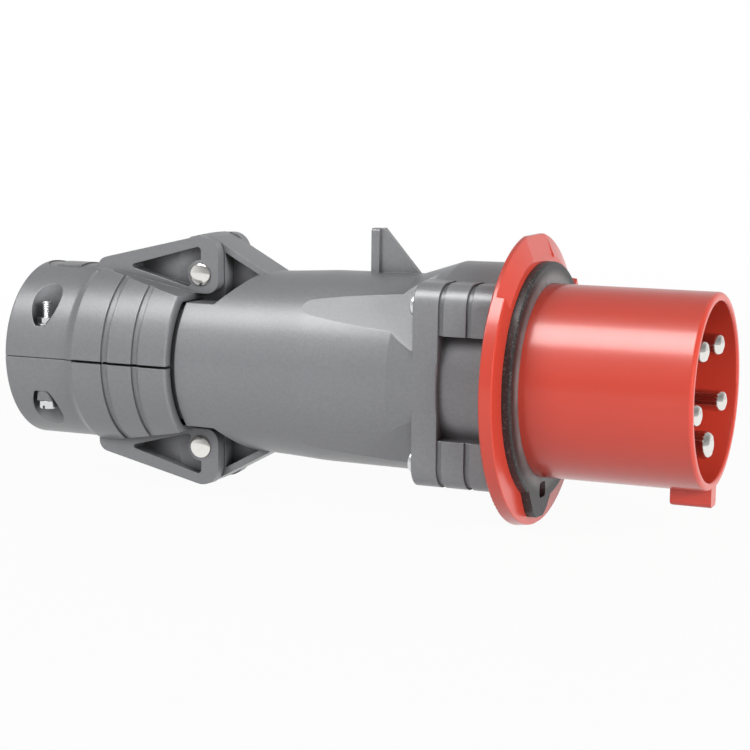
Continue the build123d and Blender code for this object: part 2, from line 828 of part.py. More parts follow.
def lower_jaw():
    """Jaw with the screw heads, each under a round boss."""
    jaw = mirror(plain_jaw(), about=Plane.XY)
    passage = rod_z(CLAMP_CEILING - 2, 1, CLAMP_R + SLIP, CLAMP_X, CLAMP_Y)
    pocket = rod_z(-COLLAR_R - 10, POCKET_TOP, POCKET_R, CLAMP_X, CLAMP_Y)
    boss_r = CLAMP_HEAD_R + SCREW_GAP
    pocket -= rod_z(CLAMP_CEILING, POCKET_TOP, boss_r, CLAMP_X, CLAMP_Y + HEAD_BOSS_SHIFT)
    jaw -= both_sides(passage + pocket)
    return jaw


def hinge_pin(z):
    """Hinge pin with a domed head at each end."""
    shaft = rod_y(-EAR_HALF - 0.5, EAR_HALF + 0.5, HINGE_R)
    dome = revolve(Plane.XZ * outline([
        (EAR_HALF + SLIP, 0),
        (EAR_HALF + SLIP, PIN_HEAD_R),
        (EAR_HALF + PIN_HEAD, PIN_HEAD_R, 1.5),
        (EAR_HALF + PIN_HEAD, 0),
    ]), Axis.X, 360)
    head = Rot(0, 0, 90) * dome
    return Pos(HINGE_X, 0, z) * (shaft + both_sides(head))


def clamp_screws():
    """Two slotted screws up through both jaws."""
    low = CLAMP_CEILING - CLAMP_HEAD
    across = CLAMP_HEAD_R + 1.4
    group = []
    for y in (CLAMP_Y, -CLAMP_Y):
        screw = rod_z(low, CLAMP_CEILING, CLAMP_HEAD_R, CLAMP_X, y)
        screw += rod_z(low + 1, CLAMP_TIP, CLAMP_R, CLAMP_X, y)
        screw -= block(
            CLAMP_X - DRIVE_HALF, CLAMP_X + DRIVE_HALF, y - across, y + across, low - 1, low + CLAMP_SLOT)
        group.append(screw)
    return Compound(children=group)


def clamp_washers():
    """Flat washers on the floors of the upper pockets."""
    group = []
    for y in (CLAMP_Y, -CLAMP_Y):
        washer = rod_z(CLAMP_FLOOR, CLAMP_FLOOR + WASHER_THICK, WASHER_R, CLAMP_X, y)
        group.append(washer - rod_z(CLAMP_FLOOR - 1, CLAMP_FLOOR + 3, CLAMP_R + SLIP, CLAMP_X, y))
    return Compound(children=group)


def clamp_nuts():
    """Thin hexagon nuts on the washers."""
    group = []
    low = CLAMP_FLOOR + WASHER_THICK
    for y in (CLAMP_Y, -CLAMP_Y):
        nut = prism_z(hexagon(NUT_FLATS, CLAMP_X, y, 90), low, low + NUT_HEIGHT)
        group.append(nut - rod_z(low - 1, low + NUT_HEIGHT + 1, CLAMP_R + SLIP, CLAMP_X, y))
    return Compound(children=group)


def main():
    """Write one file for each piece."""
    pieces = {
        "shroud_housing": shroud_housing(),
        "flange_gasket": flange_gasket(),
        "contact_carrier": contact_carrier(),
        "terminal_screws": terminal_screws(),
        "handle_housing": handle_housing(),
        "housing_seal": housing_seal(),
        "housing_screws": housing_screws(),
        "gland_seal": gland_seal(),
        "gland_washer": gland_washer(),
        "gland_nut": gland_nut(),
        "upper_jaw": upper_jaw(),
        "lower_jaw": lower_jaw(),
        "upper_hinge_pin": hinge_pin(HINGE_Z),
        "lower_hinge_pin": hinge_pin(-HINGE_Z),
        "clamp_screws": clamp_screws(),
        "clamp_washers": clamp_washers(),
        "clamp_nuts": clamp_nuts(),
    }
    for name, angle, y, z, radius in contact_places():
        pieces["contact_" + name] = contact(angle, y, z, radius)
    for name, piece in pieces.items():
        export_step(piece, "parts/" + name + ".step")


main()
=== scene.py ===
"""Looks of an industrial pin and sleeve plug, built round its fixed frame."""

import math

import bmesh
import bpy
from mathutils import Matrix, Vector


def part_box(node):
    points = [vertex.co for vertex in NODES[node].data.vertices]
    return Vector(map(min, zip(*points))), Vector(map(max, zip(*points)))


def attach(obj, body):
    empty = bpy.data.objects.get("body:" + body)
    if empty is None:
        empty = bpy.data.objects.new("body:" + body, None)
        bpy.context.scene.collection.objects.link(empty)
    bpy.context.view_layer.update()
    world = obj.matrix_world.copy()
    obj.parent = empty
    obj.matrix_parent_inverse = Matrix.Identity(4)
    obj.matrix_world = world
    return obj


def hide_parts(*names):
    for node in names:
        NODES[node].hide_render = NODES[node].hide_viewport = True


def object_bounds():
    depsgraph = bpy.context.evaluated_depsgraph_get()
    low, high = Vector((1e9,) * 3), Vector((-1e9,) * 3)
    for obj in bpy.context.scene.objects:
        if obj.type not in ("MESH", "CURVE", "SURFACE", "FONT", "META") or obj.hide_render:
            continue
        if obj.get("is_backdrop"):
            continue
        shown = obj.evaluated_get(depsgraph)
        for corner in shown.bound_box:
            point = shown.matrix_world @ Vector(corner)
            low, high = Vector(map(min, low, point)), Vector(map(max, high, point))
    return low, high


bl_info = {
    "name": "Pin and sleeve plug",
    "version": (1, 0, 0),
    "blender": (4, 5, 0),
    "location": "3D View > Sidebar > Plug",
    "description": "Finishes, small parts and stage of an industrial pin and sleeve plug",
    "category": "Object",
}

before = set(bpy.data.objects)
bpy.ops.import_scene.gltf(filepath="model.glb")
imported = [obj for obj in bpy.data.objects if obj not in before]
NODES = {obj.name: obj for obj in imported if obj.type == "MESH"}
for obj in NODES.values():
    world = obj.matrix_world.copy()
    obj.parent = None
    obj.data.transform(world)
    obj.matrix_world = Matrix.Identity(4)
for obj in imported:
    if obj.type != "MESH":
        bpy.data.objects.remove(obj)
MM = 0.001
WHITE = (1.0, 1.0, 1.0, 1.0)
# Radii that leave a rubber without the painted pale sheen on its lip
NO_LIP_SHEEN = (-1.0, 0.0)

# Shader arithmetic


class Shade:
    """Output of a shader node; arithmetic on it adds Math nodes."""

    def __init__(self, sheet, socket):
        self.sheet = sheet
        self.socket = socket

    def math(self, operation, *values):
        """Math node over the given values."""
        return self.sheet.node("ShaderNodeMath", {"operation": operation}, dict(enumerate(values)))

    def __add__(self, other):
        return self.math("ADD", self, other)

    def __radd__(self, other):
        return self.math("ADD", other, self)

    def __sub__(self, other):
        return self.math("SUBTRACT", self, other)

    def __rsub__(self, other):
        return self.math("SUBTRACT", other, self)

    def __mul__(self, other):
        return self.math("MULTIPLY", self, other)

    def __rmul__(self, other):
        return self.math("MULTIPLY", other, self)


class Sheet:
    """Node tree of one material or of the surroundings."""

    def __init__(self, owner):
        owner.use_nodes = True
        self.owner = owner
        self.tree = owner.node_tree
        self.tree.nodes.clear()

    def node(self, kind, settings=None, inputs=None, out=0):
        """Adds a node, sets it up and returns one of its outputs."""
        made = self.tree.nodes.new(kind)
        for name, value in (settings or {}).items():
            setattr(made, name, value)
        for key, value in (inputs or {}).items():
            if isinstance(value, Shade):
                self.tree.links.new(value.socket, made.inputs[key])
            else:
                made.inputs[key].default_value = value
        return Shade(self, made.outputs[out])

    def place(self, stretch=(1.0, 1.0, 1.0)):
        """Object coordinates, drawn out or pressed along each axis."""
        spot = self.node("ShaderNodeTexCoord", out="Object")
        return self.node("ShaderNodeMapping", None, {"Vector": spot, "Scale": stretch})

    def noise(self, scale, detail=2.0, roughness=0.5, where=None):
        """Noise value with features 1 / scale metres across."""
        return self.node("ShaderNodeTexNoise", None, {
            "Vector": where or self.place(),
            "Scale": scale,
            "Detail": detail,
            "Roughness": roughness,
        }, "Fac")

    def mix(self, factor, first, second):
        """Colour between two others."""
        inputs = {0: factor, 6: first, 7: second}
        return self.node("ShaderNodeMix", {"data_type": "RGBA"}, inputs, 2)

    def step(self, value, low, high):
        """Smooth rise from 0 at low to 1 at high."""
        return self.node("ShaderNodeMapRange", {"interpolation_type": "SMOOTHSTEP"}, {
            "Value": value,
            "From Min": low,
            "From Max": high,
        })

    def length(self, vector):
        """Length of a vector."""
        return self.node("ShaderNodeVectorMath", {"operation": "LENGTH"}, {0: vector}, "Value")

    def hollow(self, reach):
        """Share of open sky over a point, near 0 in a narrow hollow."""
        return self.node("ShaderNodeAmbientOcclusion", {"samples": 16}, {"Distance": reach}, "AO")

    def bump(self, height, distance, strength=1.0, edge=0.0):
        """Normal raised by a height, over edges that look rounded to the given radius."""
        inputs = {"Height": height, "Distance": distance, "Strength": strength}
        if edge:
            inputs["Normal"] = self.node("ShaderNodeBevel", {"samples": 6}, {"Radius": edge})
        return self.node("ShaderNodeBump", None, inputs)

    def surface(self, **sockets):
        """Principled shader as the material's surface."""
        inputs = {name.replace("_", " "): value for name, value in sockets.items()}
        self.output(self.node("ShaderNodeBsdfPrincipled", None, inputs))
        return self.owner

    def output(self, shader, kind="ShaderNodeOutputMaterial"):
        """Ends the tree."""
        end = self.tree.nodes.new(kind)
        self.tree.links.new(shader.socket, end.inputs["Surface"])


def shaded(colour, level):
    """The colour at another brightness."""
    return tuple(part * level for part in colour[:3]) + (1.0,)


# Finishes


def grey_plastic(name, colour, gloss):
    """Moulded grey nylon with a spark-eroded grain, faint flow clouds and painted shade in its
    hollows.
    """
    sheet = Sheet(bpy.data.materials.new(name))
    along_plug = sheet.place((0.25, 1.0, 1.0))
    cloud = sheet.noise(26.0, detail=3.0)
    flow = sheet.noise(90.0, where=along_plug)
    fine = sheet.step(sheet.noise(2000.0, roughness=0.6), 0.3, 0.7)
    coarse = sheet.step(sheet.noise(850.0, roughness=0.6), 0.3, 0.7)
    grain = fine * 0.5 + coarse * 0.5
    # Painted shade: ambient occlusion darkens the colour in hollows, grooves and seams, where shade
    # falls, and roughens it there.
    open_share = sheet.hollow(reach=7.0 * MM)
    hollow_shade = 1.0 - sheet.step(open_share, 0.3, 0.9)
    rubbed = sheet.step(cloud, 0.5, 0.8)
    tone = sheet.mix(cloud * 0.6 + flow * 0.4, shaded(colour, 0.94), shaded(colour, 1.08))
    speckled = sheet.mix(grain, shaded(colour, 0.84), tone)
    return sheet.surface(
        # Painted shade: in hollows the grey turns towards a fifth of its level.
        Base_Color=sheet.mix(hollow_shade * 0.8, speckled, shaded(colour, 0.2)),
        Roughness=gloss + (grain - 0.5) * 0.08 - rubbed * 0.01 + hollow_shade * 0.15,
        Normal=sheet.bump(grain, distance=0.03 * MM, strength=0.6, edge=0.5 * MM),
        Specular_IOR_Level=0.7,
    )


def red_plastic(name, colour, gloss):
    """Smooth red moulding with a soft ripple and faint clouds in its colour."""
    sheet = Sheet(bpy.data.materials.new(name))
    cloud = sheet.noise(24.0)
    ripple = sheet.noise(70.0)
    return sheet.surface(
        Base_Color=sheet.mix(cloud, shaded(colour, 0.96), shaded(colour, 1.03)),
        Roughness=gloss + (ripple - 0.5) * 0.06,
        Normal=sheet.bump(ripple, distance=0.10 * MM, strength=0.25, edge=0.3 * MM),
        Specular_IOR_Level=0.45,
        Coat_Weight=0.4,
        Coat_Roughness=0.16,
    )


def black_rubber(name, colour, sheen_from, sheen_to):
    """Dull rubber with a fine grain, specks of talc and a painted pale sheen on the lip that fades
    out between two radii.
    """
    sheet = Sheet(bpy.data.materials.new(name))
    fine = sheet.noise(1500.0, detail=3.0, roughness=0.6)
    patch = sheet.step(sheet.noise(90.0), 0.35, 0.7)
    specks = sheet.noise(1300.0, detail=3.0, roughness=0.7)
    talc = sheet.step(specks, 0.57, 0.64) * (0.3 + patch * 0.7)
    radius = sheet.length(sheet.place((0.0, 1.0, 1.0)))
    # Painted sheen: inside these radii the lip is painted pale, for the light its inner slope
    # reflects, and made a little smoother.
    lip_sheen = (1.0 - sheet.step(radius, sheen_from, sheen_to)) * (0.6 + patch * 0.4)
    specked = sheet.mix(talc * 0.85, colour, shaded(colour, 10.0))
    return sheet.surface(
        Base_Color=sheet.mix(lip_sheen, specked, shaded(colour, 9.0)),
        Roughness=0.45 + (fine - 0.5) * 0.3 + talc * 0.2 - lip_sheen * 0.08,
        Normal=sheet.bump(fine + talc * 0.4, distance=0.05 * MM, strength=0.6, edge=0.3 * MM),
    )


def nickel_plate(name, colour, gloss):
    """Bright nickel with fine marks of turning round the contact."""
    sheet = Sheet(bpy.data.materials.new(name))
    round_pin = sheet.place((3.0, 0.08, 0.08))
    rings = sheet.noise(900.0, roughness=0.6, where=round_pin)
    haze = sheet.noise(120.0, detail=3.0)
    return sheet.surface(
        Base_Color=sheet.mix(haze, shaded(colour, 0.92), colour),
        Metallic=1.0,
        Roughness=gloss + (rings - 0.5) * 0.12 + (haze - 0.5) * 0.06,
        Normal=sheet.bump(rings, distance=0.004 * MM, strength=0.6, edge=0.1 * MM),
    )


def plated_steel(name, colour, gloss):
    """Plated steel, slightly cloudy, with small pits."""
    sheet = Sheet(bpy.data.materials.new(name))
    haze = sheet.noise(300.0, detail=3.0, roughness=0.6)
    pits = sheet.step(sheet.noise(2200.0), 0.6, 0.8)
    return sheet.surface(
        Base_Color=sheet.mix(haze, shaded(colour, 0.86), colour),
        Metallic=1.0,
        Roughness=gloss + (haze - 0.5) * 0.06 + pits * 0.02,
        Normal=sheet.bump(haze - pits * 0.3, distance=0.01 * MM, strength=0.5, edge=0.08 * MM),
    )


# Small turned parts


def new_shape(corners, steps):
    """Solid of revolution round Z from corners (radius, height), in metres."""
    shape = bmesh.new()
    verts = [shape.verts.new((radius, 0.0, height)) for radius, height in corners]
    for first, second in zip(verts, verts[1:]):
        shape.edges.new((first, second))
    bmesh.ops.spin(
        shape, geom=verts + list(shape.edges), cent=(0, 0, 0), axis=(0, 0, 1), angle=math.tau,
        steps=steps, use_merge=True)
    bmesh.ops.remove_doubles(shape, verts=shape.verts, dist=1e-7)
    return shape


def push_out(shape, test, rule):
    """Gives the points that pass a test a new radius and height, by a rule on their place."""
    for point in shape.verts:
        radius = math.hypot(point.co.x, point.co.y)
        if not test(radius, point.co.z):
            continue
        angle = math.atan2(point.co.y, point.co.x)
        wanted, height = rule(angle, radius, point.co.z)
        point.co.x = wanted * math.cos(angle)
        point.co.y = wanted * math.sin(angle)
        point.co.z = height


def dome(inner, width, top, drop, steps):
    """Corners down a rounded end, level at its top and upright at its side."""
    turns = [math.radians(90 * step / steps) for step in range(steps + 1)]
    return [(inner + width * math.sin(turn), top - drop * (1 - math.cos(turn))) for turn in turns]


def hexagon_radius(angle, flats):
    """Distance from the centre to the side of a hexagon in one direction."""
    turn = (angle + math.pi / 6) % (math.pi / 3) - math.pi / 6
    return flats / 2 / math.cos(turn)


def cut_thread(shape, radius, low, high, pitch, depth):
    """Presses a helical thread into a shank between two heights."""
    def rule(angle, r, z):
        phase = (z / pitch - angle / math.tau) % 1.0
        valley = 1.0 - abs(2.0 * phase - 1.0)
        fade = min(1.0, (z - low) / pitch, (high - z) / pitch)
        return radius - depth * valley * max(0.0, fade), z
    push_out(shape, lambda r, z: abs(r - radius) < 1e-6 and low <= z <= high, rule)


def shank(radius, low, high, pitch):
    """Corners down a shank, close enough together for its thread."""
    count = math.ceil((high - low) / pitch * 6)
    return [(radius, high + (low - high) * step / count) for step in range(count + 1)]


def settle(shape, name):
    """Mesh made of a shape, which is used up."""
    mesh = bpy.data.meshes.new(name)
    shape.to_mesh(mesh)
    shape.free()
    return mesh


def put(shape, matrix, target):
    """Moves a shape to its place and adds it to a mesh that grows."""
    bmesh.ops.transform(shape, matrix=matrix, verts=shape.verts)
    bmesh.ops.recalc_face_normals(shape, faces=shape.faces)
    held = settle(shape, "held")
    target.from_mesh(held)
    bpy.data.meshes.remove(held)


def add_piece(context, name, shape, material, body, slot, *nodes):
    """Makes a finished piece that stands for nodes of the frame."""
    sharp = math.radians(32)
    for face in shape.faces:
        face.smooth = True
    for edge in shape.edges:
        edge.smooth = edge.calc_face_angle(0.0) < sharp
    mesh = settle(shape, name)
    mesh.materials.append(material)
    piece = bpy.data.objects.new(name, mesh)
    context.scene.collection.objects.link(piece)
    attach(piece, body)
    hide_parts(*nodes)
    return piece


def carve(context, piece, cutter):
    """Cuts one object from another and drops the cutter."""
    context.scene.collection.objects.link(cutter)
    change = piece.modifiers.new("carve", "BOOLEAN")
    change.operation = "DIFFERENCE"
    change.solver = "EXACT"
    change.object = cutter
    graph = context.evaluated_depsgraph_get()
    carved = bpy.data.meshes.new_from_object(piece.evaluated_get(graph))
    old = piece.data
    piece.modifiers.clear()
    piece.data = carved
    bpy.data.meshes.remove(old)
    blank = cutter.data
    bpy.data.objects.remove(cutter)
    bpy.data.meshes.remove(blank)


def middle(node):
    """Centre of a node's box."""
    low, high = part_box(node)
    return (Vector(low) + Vector(high)) / 2


# Sizes and colours


class PlugFinish(bpy.types.PropertyGroup):
    """Colours and roughness of the plug's mouldings, rubber and metal."""

    red: bpy.props.FloatVectorProperty(
        name="Red", description="Sleeve and flange moulding", subtype="COLOR", size=4,
        default=(0.56, 0.050, 0.028, 1.0), min=0.0, max=1.0)
    red_gloss: bpy.props.FloatProperty(
        name="Red roughness", description="Roughness of the red moulding", default=0.31,
        min=0.0, max=1.0)
    carrier_gloss: bpy.props.FloatProperty(
        name="Carrier roughness", description="Roughness of the contact carrier", default=0.4,
        min=0.0, max=1.0)
    grey: bpy.props.FloatVectorProperty(
        name="Grey", description="Body moulding", subtype="COLOR", size=4,
        default=(0.225, 0.228, 0.240, 1.0), min=0.0, max=1.0)
    jaw: bpy.props.FloatVectorProperty(
        name="Jaw grey", description="Clamp jaw moulding", subtype="COLOR", size=4,
        default=(0.215, 0.218, 0.229, 1.0), min=0.0, max=1.0)
    grey_gloss: bpy.props.FloatProperty(
        name="Grey roughness", description="Roughness of the grey moulding", default=0.34,
        min=0.0, max=1.0)
    rubber: bpy.props.FloatVectorProperty(
        name="Rubber", description="Gasket and seals", subtype="COLOR", size=4,
        default=(0.018, 0.017, 0.017, 1.0), min=0.0, max=1.0)
    # Painted sheen: radii between which the pale lip painted on the gasket fades out.
    lip_sheen_radii: bpy.props.FloatVectorProperty(
        name="Worn lip", description="Radii between which the wear of the gasket's lip fades out",
        size=2, default=(37.0 * MM, 41.5 * MM), unit="LENGTH")
    nickel: bpy.props.FloatVectorProperty(
        name="Nickel", description="Contacts and hinge pins", subtype="COLOR", size=4,
        default=(0.86, 0.84, 0.80, 1.0), min=0.0, max=1.0)
    nickel_gloss: bpy.props.FloatProperty(
        name="Nickel roughness", description="Roughness of the contacts", default=0.16,
        min=0.0, max=1.0)
    hinge_gloss: bpy.props.FloatProperty(
        name="Pin roughness", description="Roughness of the hinge pins", default=0.14,
        min=0.0, max=1.0)
    zinc: bpy.props.FloatVectorProperty(
        name="Zinc", description="Screws, nuts and washers", subtype="COLOR", size=4,
        default=(0.76, 0.77, 0.78, 1.0), min=0.0, max=1.0)
    zinc_gloss: bpy.props.FloatProperty(
        name="Zinc roughness", description="Roughness of screws, nuts and washers", default=0.22,
        min=0.0, max=1.0)
    terminal_gloss: bpy.props.FloatProperty(
        name="Terminal roughness", description="Roughness of the terminal screws", default=0.3,
        min=0.0, max=1.0)


class PlugScrews(bpy.types.PropertyGroup):
    """Sizes of the small metal parts that the frame only blocks out."""

    shank_radius: bpy.props.FloatProperty(
        name="Shank radius", description="Radius of the clamp screws' shank", default=2.0 * MM,
        unit="LENGTH")
    head_height: bpy.props.FloatProperty(
        name="Head height", description="Height of the clamp screws' head", default=3.1 * MM,
        unit="LENGTH")
    neck_length: bpy.props.FloatProperty(
        name="Neck length", description="Plain neck between the head and the thread",
        default=22.0 * MM, unit="LENGTH")
    pitch: bpy.props.FloatProperty(
        name="Pitch", description="Thread pitch of the clamp screws", default=0.7 * MM,
        unit="LENGTH")
    depth: bpy.props.FloatProperty(
        name="Thread depth", description="Depth of the clamp screws' thread", default=0.36 * MM,
        unit="LENGTH")
    slot_width: bpy.props.FloatProperty(
        name="Slot width", description="Width of the slot in each clamp screw", default=1.0 * MM,
        unit="LENGTH")
    slot_depth: bpy.props.FloatProperty(
        name="Slot depth", description="Depth of the slot in each clamp screw", default=1.3 * MM,
        unit="LENGTH")
    hex_flats: bpy.props.FloatProperty(
        name="Socket flats", description="Hexagon socket of the housing screws", default=3.0 * MM,
        unit="LENGTH")
    hex_depth: bpy.props.FloatProperty(
        name="Socket depth", description="Depth of that socket", default=2.2 * MM, unit="LENGTH")
    cap_radius: bpy.props.FloatProperty(
        name="Cap radius", description="Radius of the housing screws' head", default=4.25 * MM,
        unit="LENGTH")
    cap_height: bpy.props.FloatProperty(
        name="Cap height", description="Height of that head", default=3.5 * MM, unit="LENGTH")
    bolt_radius: bpy.props.FloatProperty(
        name="Bolt radius", description="Radius of the housing screws' shank", default=2.5 * MM,
        unit="LENGTH")
    nut_flats: bpy.props.FloatProperty(
        name="Nut flats", description="Width of the nuts across their flats", default=7.0 * MM,
        unit="LENGTH")
    washer_radius: bpy.props.FloatProperty(
        name="Washer radius", description="Outer radius of the washers", default=4.3 * MM,
        unit="LENGTH")
    pin_radius: bpy.props.FloatProperty(
        name="Pin radius", description="Radius of the hinge pins' shank", default=2.5 * MM,
        unit="LENGTH")
    pin_head: bpy.props.FloatProperty(
        name="Pin head", description="Height of the hinge pins' heads", default=1.55 * MM,
        unit="LENGTH")
    pin_dome: bpy.props.FloatProperty(
        name="Pin dome", description="Height of the dome on those heads", default=1.1 * MM,
        unit="LENGTH")


class PlugContacts(bpy.types.PropertyGroup):
    """Sizes of the turned contacts."""

    line_radius: bpy.props.FloatProperty(
        name="Line radius", description="Radius of the line and neutral contacts", default=4.0 * MM,
        unit="LENGTH")
    earth_radius: bpy.props.FloatProperty(
        name="Earth radius", description="Radius of the earth contact", default=5.0 * MM,
        unit="LENGTH")
    nose_round: bpy.props.FloatProperty(
        name="Nose round", description="Rounding of the nose as a share of the radius",
        default=0.42, min=0.1, max=0.9)
    nose_length: bpy.props.FloatProperty(
        name="Nose length", description="Length of that rounding along the pin", default=2.8 * MM,
        unit="LENGTH")
    nose_rise: bpy.props.FloatProperty(
        name="Nose rise", description="Height of the crown on the nose", default=0.5 * MM,
        unit="LENGTH")
    shoulder: bpy.props.FloatProperty(
        name="Shoulder", description="Place of the step behind the pin", default=8.0 * MM,
        unit="LENGTH")
    root: bpy.props.FloatProperty(
        name="Root", description="Place of the step before the terminal", default=-14.0 * MM,
        unit="LENGTH")
    wire_radius: bpy.props.FloatProperty(
        name="Wire bore", description="Radius of the bore for the wire", default=4.2 * MM,
        unit="LENGTH")
    wire_depth: bpy.props.FloatProperty(
        name="Wire depth", description="Depth of the bore for the wire", default=16.0 * MM,
        unit="LENGTH")
    hole_radius: bpy.props.FloatProperty(
        name="Screw hole", description="Radius of the terminal screw's hole", default=2.55 * MM,
        unit="LENGTH")
    hole_place: bpy.props.FloatProperty(
        name="Screw place", description="Place of the terminal screw's hole", default=-37.0 * MM,
        unit="LENGTH")


class PlugStage(bpy.types.PropertyGroup):
    """Camera, lamps, floor and surroundings."""

    azimuth: bpy.props.FloatProperty(
        name="Azimuth", description="Camera direction round the plug", default=math.radians(23.189),
        subtype="ANGLE")
    elevation: bpy.props.FloatProperty(
        name="Elevation", description="Camera height over the plug", default=math.radians(8.249),
        subtype="ANGLE")
    roll: bpy.props.FloatProperty(
        name="Roll", description="Camera roll", default=math.radians(0.616), subtype="ANGLE")
    distance: bpy.props.FloatProperty(
        name="Distance", description="Camera distance", default=0.7486, unit="LENGTH")
    lens: bpy.props.FloatProperty(
        name="Lens", description="Focal length in millimetres", default=94.57)
    target: bpy.props.FloatVectorProperty(
        name="Target", description="Point the camera looks at", default=(-0.06966, 0.0, -0.00269),
        subtype="TRANSLATION", unit="LENGTH")
    floor_drop: bpy.props.FloatProperty(
        name="Floor drop", description="Floor below the flange rim", default=0.0002, unit="LENGTH")
    box_power: bpy.props.FloatProperty(
        name="Soft box", description="Power of the soft box behind the highlights in watts",
        default=25.0, min=0.0)
    box_size: bpy.props.FloatVectorProperty(
        name="Soft box size", description="Long and short side of the soft box", size=2,
        default=(1.2, 0.62), unit="LENGTH")
    box_rise: bpy.props.FloatProperty(
        name="Soft box height", description="Height of the soft box as an angle over the floor",
        default=math.radians(63.0), subtype="ANGLE")
    wash_power: bpy.props.FloatProperty(
        name="Front wash", description="Power of the matte light in front in watts", default=8.0,
        min=0.0)
    rear_power: bpy.props.FloatProperty(
        name="Rear wash", description="Power of the matte light behind in watts", default=10.0,
        min=0.0)
    wash_size: bpy.props.FloatVectorProperty(
        name="Wash size", description="Long and short side of the matte lights", size=2,
        default=(0.8, 0.6), unit="LENGTH")
    fill_power: bpy.props.FloatProperty(
        name="Mouth fill", description="Power of the matte light before the mouth in watts",
        default=19.0, min=0.0)
    wash_place: bpy.props.FloatVectorProperty(
        name="Front wash place", description="Height and turn of the front wash round the plug",
        size=2, default=(0.5, -0.2), unit="ROTATION")
    rear_place: bpy.props.FloatVectorProperty(
        name="Rear wash place", description="Height and turn of the rear wash", size=2,
        default=(0.15, 3.9), unit="ROTATION")
    fill_place: bpy.props.FloatVectorProperty(
        name="Mouth fill place", description="Height and turn of the mouth fill", size=2,
        default=(0.25, 1.25), unit="ROTATION")
    lamp_reach: bpy.props.FloatProperty(
        name="Lamp distance", description="Distance of every lamp from the plug", default=1.3,
        unit="LENGTH")
    lamp_shift: bpy.props.FloatProperty(
        name="Lamp shift", description="Shift of every lamp toward the cable end", default=0.45,
        unit="LENGTH")
    shine: bpy.props.FloatProperty(
        name="Shine share", description="Strength of the surroundings where they show in gloss",
        default=0.85, min=0.0, max=1.0)
    front_shine: bpy.props.FloatProperty(
        name="Front shine", description="The same in front of the plug", default=0.45,
        min=0.0, max=1.0)
    front: bpy.props.FloatProperty(
        name="Front light", description="Strength of the surroundings before the plug",
        default=0.38, min=0.0)
    behind: bpy.props.FloatProperty(
        name="Rear light", description="Strength of the surroundings behind the plug", default=0.4,
        min=0.0)
    overhead: bpy.props.FloatProperty(
        name="Overhead share", description="Share of those strengths that is left overhead",
        default=0.6, min=0.0, max=1.0)
    front_way: bpy.props.FloatVectorProperty(
        name="Front direction", description="Direction in which the front of the plug lies",
        default=(0.75, -0.65, 0.1), subtype="XYZ")
    front_fade: bpy.props.FloatVectorProperty(
        name="Front fade", description="Share of that direction where the front starts and is full",
        size=2, default=(-0.3, 0.6))
    dome_fade: bpy.props.FloatVectorProperty(
        name="Dome fade", description="Heights between which the surroundings dim", size=2,
        default=(0.15, 0.7))
    floor_fade: bpy.props.FloatVectorProperty(
        name="Floor fade", description="Distances between which the floor turns pure white", size=2,
        default=(0.3, 1.2), unit="LENGTH")


# Operators


def repaint(material, *names):
    """Gives fixed nodes one finish."""
    for name in names:
        mesh = NODES[name].data
        mesh.materials.clear()
        mesh.materials.append(material)


class PLUG_OT_mouldings(bpy.types.Operator):
    """Finish of the grey body and jaws"""

    bl_idname = "plug.mouldings"
    bl_label = "Grey mouldings"

    def execute(self, context):
        finish = context.scene.plug_finish
        repaint(grey_plastic("grey_body", finish.grey, finish.grey_gloss), "handle_housing")
        jaw = grey_plastic("grey_jaw", finish.jaw, finish.grey_gloss)
        repaint(jaw, "upper_jaw", "lower_jaw")
        dark = grey_plastic("gland_grey", shaded(finish.jaw, 0.45), finish.grey_gloss)
        repaint(dark, "gland_nut", "gland_washer")
        return {"FINISHED"}


class PLUG_OT_front(bpy.types.Operator):
    """Finish of the red front and its gasket"""

    bl_idname = "plug.front"
    bl_label = "Red front"

    def execute(self, context):
        finish = context.scene.plug_finish
        repaint(red_plastic("red_moulding", finish.red, finish.red_gloss), "shroud_housing")
        carrier = red_plastic("red_carrier", shaded(finish.red, 0.9), finish.carrier_gloss)
        repaint(carrier, "contact_carrier")
        # The gasket gets a painted pale sheen on its lip; the seals get none.
        repaint(black_rubber("gasket_rubber", finish.rubber, *finish.lip_sheen_radii), "flange_gasket")
        seal = black_rubber("seal_rubber", finish.rubber, *NO_LIP_SHEEN)
        repaint(seal, "housing_seal", "gland_seal")
        return {"FINISHED"}


